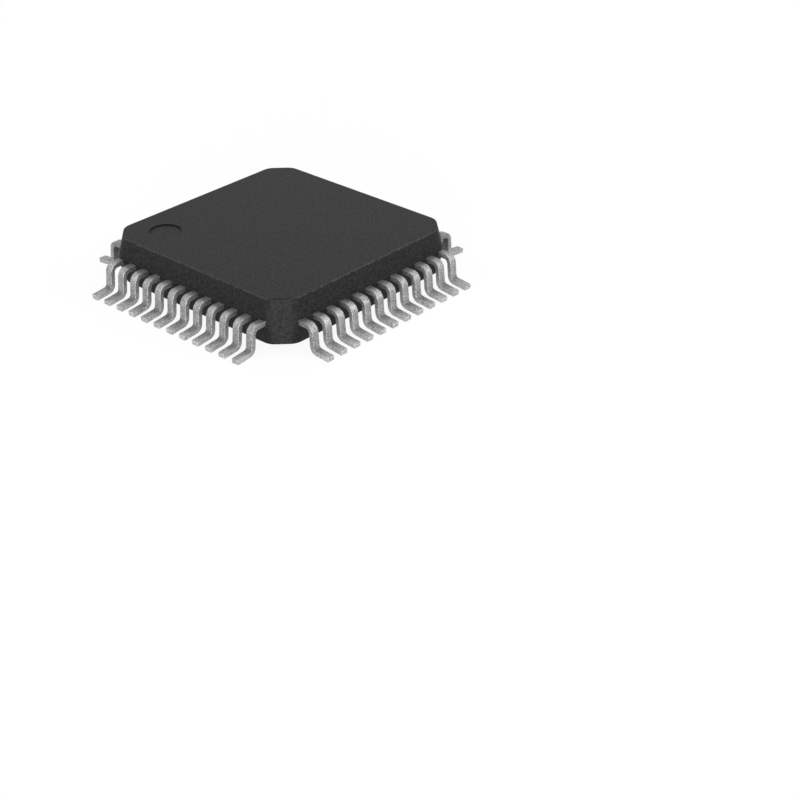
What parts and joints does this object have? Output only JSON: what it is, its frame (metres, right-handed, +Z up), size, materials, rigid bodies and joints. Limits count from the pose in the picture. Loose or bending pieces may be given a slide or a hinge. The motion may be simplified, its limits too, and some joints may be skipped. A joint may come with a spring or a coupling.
{
  "type": "quad flat pack chip",
  "caption": "Square surface mount chip: moulded epoxy body with cut corners and a round marker dimple, and formed gull wing leads along every side.",
  "frame": {"origin": "on the seating plane under the centre of the package", "axes": "+Z up out of the top face, -X and +Y towards the pin 1 corner"},
  "size_m": [0.009, 0.009, 0.0014],
  "materials": {
    "moulding_compound": "matte black moulded epoxy with fine silica filler",
    "tin_plate": "satin matte tin on copper alloy",
    "copper_alloy": "bare rolled copper alloy strip",
    "silver_epoxy": "cured silver filled adhesive",
    "silicon": "sawn and polished silicon",
    "gold_wire": "drawn gold wire"
  },
  "bodies": {
    "root": {"bond_wires_a": "gold_wire", "bond_wires_b": "gold_wire", "bond_wires_c": "gold_wire", "bond_wires_d": "gold_wire", "die": "silicon", "die_attach": "silver_epoxy", "die_pad": "copper_alloy", "lead_01": "tin_plate", "lead_02": "tin_plate", "lead_03": "tin_plate", "lead_04": "tin_plate", "lead_05": "tin_plate", "lead_06": "tin_plate", "lead_07": "tin_plate", "lead_08": "tin_plate", "lead_09": "tin_plate", "lead_10": "tin_plate", "lead_11": "tin_plate", "lead_12": "tin_plate", "lead_13": "tin_plate", "lead_14": "tin_plate", "lead_15": "tin_plate", "lead_16": "tin_plate", "lead_17": "tin_plate", "lead_18": "tin_plate", "lead_19": "tin_plate", "lead_20": "tin_plate", "lead_21": "tin_plate", "lead_22": "tin_plate", "lead_23": "tin_plate", "lead_24": "tin_plate", "lead_25": "tin_plate", "lead_26": "tin_plate", "lead_27": "tin_plate", "lead_28": "tin_plate", "lead_29": "tin_plate", "lead_30": "tin_plate", "lead_31": "tin_plate", "lead_32": "tin_plate", "lead_33": "tin_plate", "lead_34": "tin_plate", "lead_35": "tin_plate", "lead_36": "tin_plate", "lead_37": "tin_plate", "lead_38": "tin_plate", "lead_39": "tin_plate", "lead_40": "tin_plate", "lead_41": "tin_plate", "lead_42": "tin_plate", "lead_43": "tin_plate", "lead_44": "tin_plate", "lead_45": "tin_plate", "lead_46": "tin_plate", "lead_47": "tin_plate", "lead_48": "tin_plate", "package_body": "moulding_compound"}
  },
  "joints": []
}
